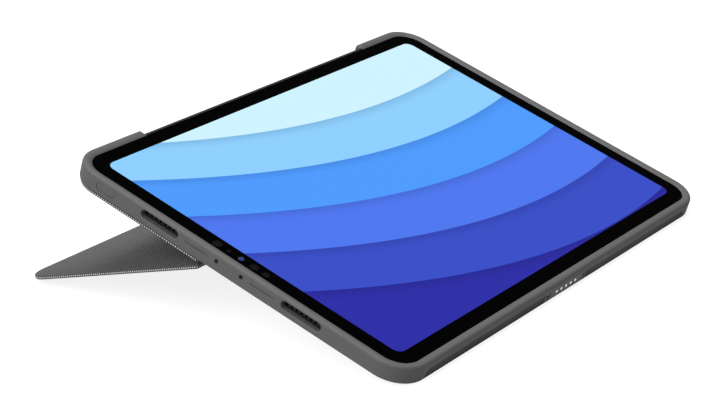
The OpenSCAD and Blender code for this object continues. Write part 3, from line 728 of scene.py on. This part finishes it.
@dataclass
class WovenCover:
    """Twill laid over a stiff board, folded round its edge and cut flush at the rim."""

    name: str
    node: str
    body: str
    pose: Pose
    corners: list[tuple[float, float, float]]
    hole: list[tuple[float, float, float]]
    top: float
    face: float = -9.1
    cloth_t: float = 0.4
    pitch: float = 1.25
    bump: float = 0.06

    def wrap(self) -> np.ndarray:
        """Returns the fold's profile: offset out of the outline, height, share of cut edge."""
        t, z0, z1 = self.cloth_t, self.face, self.top
        return np.array([
            (-t, z0 + t, 0), (-t, z1 - 0.08, 0), (-t + 0.08, z1, 0), (-0.12, z1, 0.5),
            (-0.03, z1 - 0.06, 1), (0, z1 - 0.3, 1), (0, (z0 + z1) / 2 + 0.1, 1), (0, z0 + 0.45, 1),
            (-0.05, z0 + 0.22, 0.8), (-0.18, z0 + 0.07, 0), (-0.4, z0, 0)])

    def fold(self, outline: np.ndarray, sign: float) -> Surface:
        """Carries the profile round an outline, with a small swell at each yarn end.

        A point is outline + normal * (offset + bump * cut * cos(2 pi s / pitch)), where s is
        the way gone along the outline.

        Args:
            outline: the panel's edge, in even steps of a quarter pitch.
            sign: 1 round the outside, -1 round an opening.

        Returns:
            The open band, with the edge map and the cut mark.
        """
        profile = self.wrap()
        count = len(outline)
        normal = outward(outline) * sign
        beat = np.cos(np.arange(count) * np.pi / 2)
        reach = profile[:, None, 0] + self.bump * profile[:, None, 2] * beat[None]
        flat = outline[None] + normal[None] * reach[..., None]
        level = np.broadcast_to(profile[:, None, 1:2], (len(profile), count, 1))
        points = np.concatenate([flat, level], axis=2).reshape(-1, 3)
        quads = ring_faces(len(profile), count)
        row, column = np.divmod(np.arange(len(quads)), count)
        along = np.stack([column, column + 1, column + 1, column], axis=1) * self.pitch / 4
        height = profile[np.stack([row, row, row + 1, row + 1], axis=1), 1] - (self.face + self.top) / 2
        edge = np.stack([along, height], axis=2)
        return Surface(points, [quads], {"edge": [edge]},
                       {"cut": np.repeat(profile[:, 2], count)})

    def surface(self) -> Surface:
        """Joins the folds to the flat cloth inside and out, all as one closed skin."""
        loops = [rounded_outline(self.corners, self.pitch)]
        folds = [self.fold(loops[0], 1.0)]
        if self.hole:
            loops.append(rounded_outline(self.hole, self.pitch))
            folds.append(self.fold(loops[1], -1.0))
        skin = Surface.joined(folds)
        rows = len(self.wrap())
        start = np.cumsum([0] + [rows * len(loop) for loop in loops[:-1]])
        for row in (0, rows - 1):
            rims = [s + row * len(loop) + np.arange(len(loop)) for s, loop in zip(start, loops)]
            skin.faces.append(self.flat_fill(skin.points, rims))
        skin.maps["edge"] += [np.zeros((*f.shape, 2)) for f in skin.faces[len(folds):]]
        return skin.flat_map("cloth")

    def flat_fill(self, points: np.ndarray, rims: list[np.ndarray]) -> np.ndarray:
        """Fills between closed rims that lie in one level.

        Args:
            points: the skin's points.
            rims: point numbers of the outer rim and of any opening's rim.

        Returns:
            Triangles of point numbers.
        """
        numbers = np.concatenate(rims)
        starts = np.cumsum([0] + [len(r) for r in rims[:-1]])
        edges = np.concatenate([np.stack([np.arange(len(r)), (np.arange(len(r)) + 1) % len(r)],
                                         axis=1) + s for r, s in zip(rims, starts)])
        flat = [Vector(p) for p in points[numbers][:, :2]]
        found = delaunay_2d_cdt(flat, edges.tolist(), [], 1, 1e-6)
        back = np.array([came[0] for came in found[3]])
        tris = numbers[back[np.array(found[2])]]
        if len(rims) > 1:
            low, high = points[rims[1]][:, :2].min(axis=0), points[rims[1]][:, :2].max(axis=0)
            middle = points[tris][:, :, :2].mean(axis=1)
            own = np.isin(tris, rims[1]).all(axis=1)
            tris = tris[~(own & (middle > low).all(axis=1) & (middle < high).all(axis=1))]
        return tris

    def build(self, maker: Maker) -> None:
        """Makes the cover and lets it stand for its plain solid.

        Args:
            maker: makes the piece.
        """
        cover = maker.piece(self.name, self.surface(), "woven_fabric", self.pose, 50.0)
        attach(cover, self.body)
        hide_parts(self.node)


@dataclass
class CoveredBack:
    """Both woven panels and the cloth of the crease between them."""

    half_w: float = 125.8
    half_h: float = 91.25
    corner: float = 14.0
    hinge_y: float = 15.8
    hinge_z: float = -9.6
    crease_half: float = 0.6
    notch_x: tuple[float, float] = (94.7, 113.3)
    notch_half: float = 1.6
    camera_at: tuple[float, float] = (-102.6, 68.05)
    camera_half: float = 18.05
    camera_r: float = 9.3
    upper_top: float = -7.35
    stand_top: float = -7.5
    crease_t: float = 0.34

    def edge_corners(self, side: float) -> list[tuple[float, float, float]]:
        """Lists a panel's corners along the crease from +X to -X, with the hinge notches.

        Args:
            side: 1 for the upper panel, -1 for the kickstand.

        Returns:
            x, y and radius of each corner.
        """
        y = self.hinge_y + side * self.crease_half
        dent = self.hinge_y + side * self.notch_half
        near, far = self.notch_x
        right = [(self.half_w, y, 0.6), (far, y, 0.5), (far, dent, 0.42), (near, dent, 0.42), (near, y, 0.5)]
        return right + [(-x, level, r) for x, level, r in reversed(right)]

    def kickstand(self) -> WovenCover:
        """Returns the kickstand's cover, as if closed."""
        corners = [(-self.half_w, -self.half_h, self.corner), (self.half_w, -self.half_h, self.corner)]
        return WovenCover("kickstand_twill", "kickstand_fabric", "kickstand", Pose.STAND,
                          corners + self.edge_corners(-1.0), [], self.stand_top)

    def upper(self) -> WovenCover:
        """Returns the upper panel's cover, open round the rear camera."""
        top = [(self.half_w, self.half_h, self.corner), (-self.half_w, self.half_h, self.corner)]
        (x, y), h, r = self.camera_at, self.camera_half, self.camera_r
        hole = [(x - h, y - h, r), (x + h, y - h, r), (x + h, y + h, r), (x - h, y + h, r)]
        return WovenCover("upper_twill", "upper_fabric", "case", Pose.PANEL,
                          top + self.edge_corners(1.0)[::-1], hole, self.upper_top)

    def crease(self, maker: Maker) -> bpy.types.Object:
        """Stretches the crease cloth between the panels, in three lengths past the hinges.

        Across, it is a straight chord from the upper panel's edge to the kickstand's, as
        thick as the cloth; along, the chord is carried on the hinge line.

        Args:
            maker: makes the piece.

        Returns:
            The piece.
        """
        level = -8.9 - self.hinge_z
        c, s = np.cos(maker.panel.swing), np.sin(maker.panel.swing)
        start = np.array([self.crease_half, level])
        end = np.array([-self.crease_half * c - level * s, -self.crease_half * s + level * c])
        way = np.linspace(0, 1, 9)[:, None]
        line = start * (1 - way) + end * way
        out = np.array([end[1] - start[1], start[0] - end[0]]) / np.linalg.norm(end - start)
        loop = np.concatenate([line + out * self.crease_t / 2, (line - out * self.crease_t / 2)[::-1]])
        loop += (self.hinge_y, self.hinge_z)
        near, far = self.notch_x
        strips = []
        for low, high in ((-self.half_w + 0.5, -far), (-near, near), (far, self.half_w - 0.5)):
            x = np.linspace(low, high, 2 + int((high - low) / 2))
            rings = np.stack([np.repeat(x[:, None], len(loop), axis=1),
                              np.broadcast_to(loop[:, 0], (len(x), len(loop))),
                              np.broadcast_to(loop[:, 1], (len(x), len(loop)))], axis=2)
            strips.append(closed_shell(rings))
        cloth = Surface.joined(strips).flat_map("cloth")
        cloth.maps["edge"] = [np.zeros_like(m) for m in cloth.maps["cloth"]]
        cloth.marks["cut"] = np.zeros(len(cloth.points))
        piece = maker.piece("crease_twill", cloth, "woven_fabric")
        ends = np.zeros((2, 3))
        ends[:, 1:] = np.stack([start, end]) + (self.hinge_y, self.hinge_z)
        first, last = maker.panel.place(ends)
        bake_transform(piece)
        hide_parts("crease_fabric")
        return piece

    def build(self, maker: Maker) -> None:
        """Makes the three cloth pieces."""
        self.kickstand().build(maker)
        self.upper().build(maker)
        self.crease(maker)


@dataclass
class Buttons:
    """Crowned soft caps over the tablet's own keys."""

    length: float = 10.2
    height: float = 3.6
    level: float = -3.05
    power_y: float = 69.45
    volume_x: tuple[float, float] = (-103.5, -91.0)
    side_x: float = 126.5
    side_y: float = 91.95
    depth: float = 2.25
    crown: float = 0.05
    edge: float = 0.12

    def cap(self) -> np.ndarray:
        """Returns rings of a pill whose face is crowned, as along, up and out from the side.

        Each ring of the face is the pill's outline drawn in by some inset:
        out = -crown * (1 - (inset - edge) / (half height - edge))^2. The edge rolls back by a
        quarter circle.
        """
        outline = rounded_outline([
            (-self.length / 2, -self.height / 2, self.height / 2 - 0.01),
            (self.length / 2, -self.height / 2, self.height / 2 - 0.01),
            (self.length / 2, self.height / 2, self.height / 2 - 0.01),
            (-self.length / 2, self.height / 2, self.height / 2 - 0.01)], 2.0)
        normal = outward(outline)
        roll = np.linspace(0, np.pi / 2, 5)
        half = self.height / 2
        face = np.array([self.edge, 0.5, 0.9, 1.3, 1.6])
        inset = np.concatenate([[0.0], self.edge * (1 - np.cos(roll))[:-1], face])
        drop = np.concatenate([[-self.depth], -self.edge + self.edge * np.sin(roll)[:-1] - self.crown,
                               -self.crown * (1 - (face - self.edge) / (half - self.edge)) ** 2])
        flat = outline[None] - normal[None] * inset[:, None, None]
        return np.concatenate([flat, np.broadcast_to(drop[:, None, None], (*flat.shape[:2], 1))], axis=2)

    def build(self, maker: Maker) -> None:
        """Makes the power cap and both volume caps.

        Args:
            maker: makes the pieces.
        """
        cap = self.cap()
        along, up, out = cap[..., 0], cap[..., 1], cap[..., 2]
        power = np.stack([-self.side_x - out, self.power_y + along, self.level + up], axis=2)
        caps = {"power": power}
        for name, x in zip(("volume_up", "volume_down"), self.volume_x):
            caps[name] = np.stack([x + along, self.side_y + out, self.level + up], axis=2)
        for name, rings in caps.items():
            piece = maker.piece(f"{name}_soft_cap", closed_shell(rings), "rim_elastomer", sharp=60.0)
            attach(piece, f"{name}_button")
            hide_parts(f"{name}_cap")


@dataclass
class DockContacts:
    """Five domed pins in the front edge."""

    pitch: float = 4.0
    radius: float = 0.75
    level: float = -4.15
    side_y: float = -91.95
    proud: float = 0.1

    def build(self, maker: Maker) -> None:
        """Turns each pin's dome: height = proud * (1 - (r / radius)^2) past its shoulder.

        Args:
            maker: makes the piece.
        """
        share = np.array([1.0, 1.0, 0.94, 0.8, 0.55, 0.25])
        height = np.array([-1.2, -0.06, 0.0, 0.045, 0.085, 0.1]) * self.proud / 0.1
        profile = np.stack([share * self.radius, height], axis=1)
        pins = [turned(profile, np.array([i * self.pitch, self.side_y, self.level]),
                       np.array([0, -1.0, 0]), 20) for i in range(-2, 3)]
        piece = maker.piece("domed_contacts", Surface.joined(pins), "gold_contact")
        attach(piece, "case")
        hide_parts("dock_contacts")


@dataclass
class TabletGlass:
    """The lit display and the lenses, front and back."""

    width: float = 229.7
    height: float = 160.6
    corner: float = 4.0
    lift: float = 0.03
    front_at: tuple[float, float] = (-119.125, 0.0)
    front_r: float = 1.5
    rear_at: tuple[float, float] = (-102.6, 68.05)
    rear: tuple[tuple[float, float, float], ...] = (
        (-6.4, 6.4, 5.4), (-6.4, -6.4, 4.6), (6.6, 6.6, 3.0), (7.0, -6.6, 2.4))
    rear_face: float = -7.0
    rear_depth: float = 0.8

    def display(self, maker: Maker) -> None:
        """Lays the picture on the glass: rings of its rounded outline, drawn in to the middle.

        Args:
            maker: makes the piece.
        """
        w, h, r = self.width / 2, self.height / 2, self.corner
        outline = rounded_outline([(-w, -h, r), (w, -h, r), (w, h, r), (-w, h, r)], 4.0)
        share = np.array([0.25, 0.5, 0.75, 1.0, 1.0, 0.6])
        level = np.array([1.0, 1.0, 1.0, 1.0, 0.1, 0.1]) * self.lift
        rings = np.concatenate([outline[None] * share[:, None, None],
                                np.broadcast_to(level[:, None, None], (len(share), len(outline), 1))],
                               axis=2)
        picture = closed_shell(rings).flat_map("picture")
        piece = maker.piece("lit_picture", picture, "lit_display")
        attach(piece, "case")
        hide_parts("display_panel")

    def dome(self, radius: float, rise: float, depth: float) -> np.ndarray:
        """Returns a lens profile: a shallow dome with a rounded rim, depth below its face."""
        share = np.array([1.0, 1.0, 0.97, 0.9, 0.75, 0.5, 0.25])
        height = np.concatenate([[-depth, -0.3 * rise], rise * (1 - share[2:] ** 2) - rise])
        return np.stack([share * radius, np.minimum(height, 0.0)], axis=1)

    def lenses(self, maker: Maker) -> None:
        """Turns the front lens and the four rear ones.

        Args:
            maker: makes the pieces.
        """
        spot = np.array([*self.front_at, 0.0])
        front = turned(self.dome(self.front_r, 0.05, 0.28), spot, np.array([0, 0, 1.0]), 40)
        piece = maker.piece("front_lens", front, "camera_glass")
        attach(piece, "case")
        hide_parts("front_camera")
        x, y = self.rear_at
        domes = [turned(self.dome(r, 0.12, self.rear_depth), np.array([x + dx, y + dy, self.rear_face]),
                        np.array([0, 0, -1.0]), 48) for dx, dy, r in self.rear]
        piece = maker.piece("rear_lenses", Surface.joined(domes), "camera_glass")
        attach(piece, "case")
        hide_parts("camera_lenses")

    def build(self, maker: Maker) -> None:
        """Makes the display and the lenses."""
        self.display(maker)
        self.lenses(maker)


# ---------------------------------------------------------------- studio

@dataclass(frozen=True)
class Softbox:
    """A square lamp that looks at the object; place and side in metres, power in watts."""

    name: str
    place: tuple[float, float, float]
    side: float
    power: float

    def build(self, target: Vector) -> None:
        """Hangs the lamp and turns it to the target."""
        lamp = bpy.data.lights.new(self.name, "AREA")
        lamp.shape, lamp.size, lamp.energy = "SQUARE", self.side, self.power
        holder = bpy.data.objects.new(self.name, lamp)
        spot = Vector(self.place)
        holder.matrix_world = (Matrix.Translation(spot)
                               @ (target - spot).to_track_quat("-Z", "Y").to_matrix().to_4x4())
        bpy.context.scene.collection.objects.link(holder)


@dataclass
class Studio:
    """A plain pale floor, soft light from the upper left, and the camera."""

    floor_half: float = 6.0
    world_light: float = 0.35
    lamps: tuple[Softbox, ...] = (
        Softbox("left_softbox", (-1.6, 0.2, 1.25), 1.4, 62.0),
        Softbox("top_softbox", (0.1, 0.1, 2.2), 1.6, 78.0),
    )
    azimuth: float = -54.34
    elevation: float = 20.205
    roll: float = -0.548
    distance: float = 0.961
    lens: float = 105.46
    aim_off: tuple[float, float, float] = (-0.01466, -0.00253, -0.00693)

    def floor(self) -> None:
        """Lays the floor at the row's own ground: matt opal acrylic, lit from under."""
        half = self.floor_half
        mesh = bpy.data.meshes.new("floor")
        mesh.from_pydata([(-half, -half, 0), (half, -half, 0), (half, half, 0), (-half, half, 0)],
                         [], [(0, 1, 2, 3)])
        floor = bpy.data.objects.new("floor", mesh)
        bpy.context.scene.collection.objects.link(floor)
        acrylic = BackLit("opal_acrylic", "", "#6e6e6e", "#727272", 0.9, gloss=0.1, grain_mm=2.0,
                          depth_mm=0.02, patch_mm=400)
        mesh.materials.append(acrylic.make())

    def world(self) -> None:
        """Lights the scene evenly from all round."""
        world = bpy.data.worlds.new("soft_room")
        world.use_nodes = True
        tree = world.node_tree
        tree.nodes.clear()
        glow = add(tree, "ShaderNodeBackground", {}, {"Color": WHITE, "Strength": self.world_light})
        add(tree, "ShaderNodeOutputWorld", {}, {"Surface": glow})
        bpy.context.scene.world = world

    def camera(self) -> None:
        """Stands the camera off the object's middle and turns it on it."""
        turn, rise, roll = (np.radians(a) for a in (self.azimuth, self.elevation, self.roll))
        forward = np.array([-np.sin(turn) * np.cos(rise), np.cos(turn) * np.cos(rise), -np.sin(rise)])
        level = np.cross(forward, (0, 0, 1.0))
        level /= np.linalg.norm(level)
        upright = np.cross(level, forward)
        right = level * np.cos(roll) + upright * np.sin(roll)
        middle = (np.array(CAD_BOX[0]) + np.array(CAD_BOX[1])) / 2
        place = middle + self.aim_off - forward * self.distance
        data = bpy.data.cameras.new("camera")
        data.lens, data.sensor_width = self.lens, 36.0
        data.clip_start, data.clip_end = 0.05, 50.0
        camera = bpy.data.objects.new("camera", data)
        turned_to = Matrix(np.stack([right, np.cross(right, forward), -forward], axis=1).tolist())
        camera.matrix_world = Matrix.Translation(Vector(place)) @ turned_to.to_4x4()
        bpy.context.scene.collection.objects.link(camera)
        bpy.context.scene.camera = camera

    def build(self) -> None:
        """Sets up floor, light and camera."""
        bpy.context.scene.view_settings.view_transform = "Standard"
        self.floor()
        self.world()
        for lamp in self.lamps:
            lamp.build(Vector((0, 0, CAD_BOX[1][2] / 2)))
        self.camera()


def main() -> None:
    """Builds the studio and every sub-assembly in order."""
    logging.basicConfig(level=logging.INFO, format="%(name)s: %(message)s")
    Studio().build()
    CadPieces(frame["nodes"], frame["record"]["subparts"]).dress()
    maker = Maker(Panel.from_frame())
    for assembly in (CoveredBack(), Buttons(), DockContacts(), TabletGlass()):
        assembly.build(maker)
        LOG.info("%s done, %d new pieces so far", type(assembly).__name__, maker.made)


if __name__ == "__main__":
    main()
